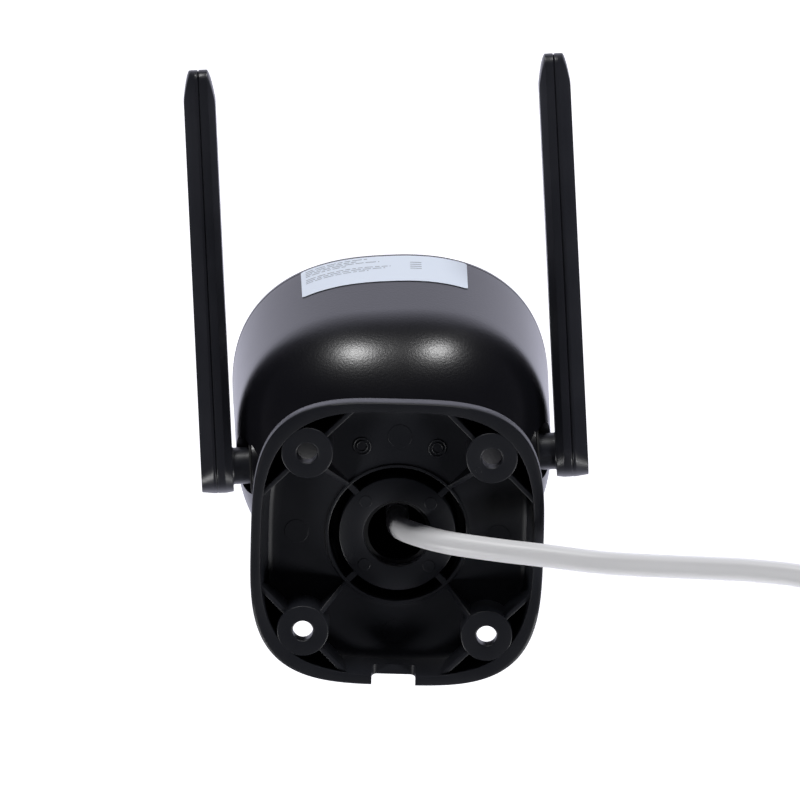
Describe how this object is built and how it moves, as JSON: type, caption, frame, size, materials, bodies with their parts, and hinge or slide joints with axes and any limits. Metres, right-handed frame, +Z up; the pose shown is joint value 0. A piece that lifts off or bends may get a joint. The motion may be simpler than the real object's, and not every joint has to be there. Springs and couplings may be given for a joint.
{
  "type": "security camera",
  "caption": "Outdoor security camera: rounded head on a ball-jointed square wall base, with folding paddle antennas and a white cable tail ending in network and power sockets.",
  "frame": {"origin": "centre of the wall base on the wall, at the middle of its four screw holes", "axes": "+Y into the wall, +Z up; the camera looks along -Y"},
  "size_m": [0.1958, 0.1149, 0.3551],
  "materials": {
    "black_plastic": "satin, fine moulded grain",
    "inner_plastic": "matt",
    "gloss_panel": "gloss",
    "rubber": "matt",
    "steel": "plated",
    "glass": "coated",
    "clear_plastic": "clear",
    "circuit_board": "satin solder mask",
    "chips": "gloss",
    "white_cable": "satin PVC",
    "black_cable": "satin PVC",
    "gold": "plated",
    "label": "satin film"
  },
  "bodies": {
    "base": {"base_plate": "black_plastic", "main_cable": "white_cable", "cable_split": "white_cable", "network_tail": "white_cable", "power_tail": "white_cable", "network_socket": "white_cable", "network_contacts": "gold", "power_socket": "black_cable", "power_contact": "steel"},
    "ball_liner": {"socket_liner": "inner_plastic"},
    "lock_ring": {"lock_ring": "black_plastic"},
    "ball_joint": {"ball_stud": "black_plastic", "stud_nut": "inner_plastic"},
    "left_antenna": {"left_antenna_outer": "black_plastic", "left_antenna_inner": "black_plastic", "left_antenna_board": "circuit_board", "left_antenna_clip": "steel"},
    "right_antenna": {"right_antenna_outer": "black_plastic", "right_antenna_inner": "black_plastic", "right_antenna_board": "circuit_board", "right_antenna_clip": "steel"},
    "reset_button": {"reset_button": "black_plastic"},
    "head": {"rear_housing": "black_plastic", "neck_seal": "rubber", "front_ring": "gloss_panel", "front_panel": "gloss_panel", "panel_seal": "rubber", "inner_frame": "inner_plastic", "frame_screws": "steel", "lens_cover_glass": "glass", "lens_barrel": "inner_plastic", "lens_glass": "glass", "lens_holder": "inner_plastic", "image_sensor": "chips", "sensor_board": "circuit_board", "led_board": "circuit_board", "white_leds": "chips", "infrared_leds": "chips", "led_lenses": "clear_plastic", "light_sensor": "chips", "microphone": "steel", "main_board": "circuit_board", "board_screws": "steel", "shield_can": "steel", "wifi_module": "circuit_board", "speaker": "inner_plastic", "memory_card_slot": "steel", "card_cover": "black_plastic", "card_cover_seal": "rubber", "card_cover_screws": "steel", "button_switch": "steel", "rating_label": "label", "inner_cable": "white_cable", "cable_gland": "rubber", "power_connector": "white_cable", "antenna_coax": "black_cable", "left_antenna_seal": "rubber", "right_antenna_seal": "rubber"}
  },
  "joints": [
    {"name": "pan", "type": "hinge", "parent": "base", "child": "ball_liner", "pos_m": [0, -0.02, 0], "axis": [0, 1, 0], "range_deg": [-180, 180]},
    {"name": "tilt", "type": "hinge", "parent": "ball_liner", "child": "ball_joint", "pos_m": [0, -0.02, 0], "axis": [1, 0, 0], "range_deg": [-21.5, 43.5]},
    {"name": "roll", "type": "hinge", "parent": "ball_joint", "child": "head", "pos_m": [0, -0.02, 0], "axis": [0.0359, -0.9793, 0.1994], "range_deg": [-180, 180]},
    {"name": "lock_ring_turn", "type": "hinge", "parent": "base", "child": "lock_ring", "pos_m": [0, -0.02, 0], "axis": [0, 1, 0], "range_deg": [0, 60]},
    {"name": "left_antenna_swing", "type": "hinge", "parent": "head", "child": "left_antenna", "pos_m": [0.0446, -0.05361, 0.00392], "axis": [0.9972, 0.022, -0.0718], "range_deg": [-45, 75]},
    {"name": "right_antenna_swing", "type": "hinge", "parent": "head", "child": "right_antenna", "pos_m": [-0.04206, -0.05552, 0.01016], "axis": [0.9972, 0.022, -0.0718], "range_deg": [-45, 75]},
    {"name": "reset_press", "type": "slide", "parent": "head", "child": "reset_button", "axis": [0.0659, 0.2014, 0.9773], "range_m": [0, 0.0008], "stiffness_N_per_m": 600, "springref_m": -0.0003}
  ]
}
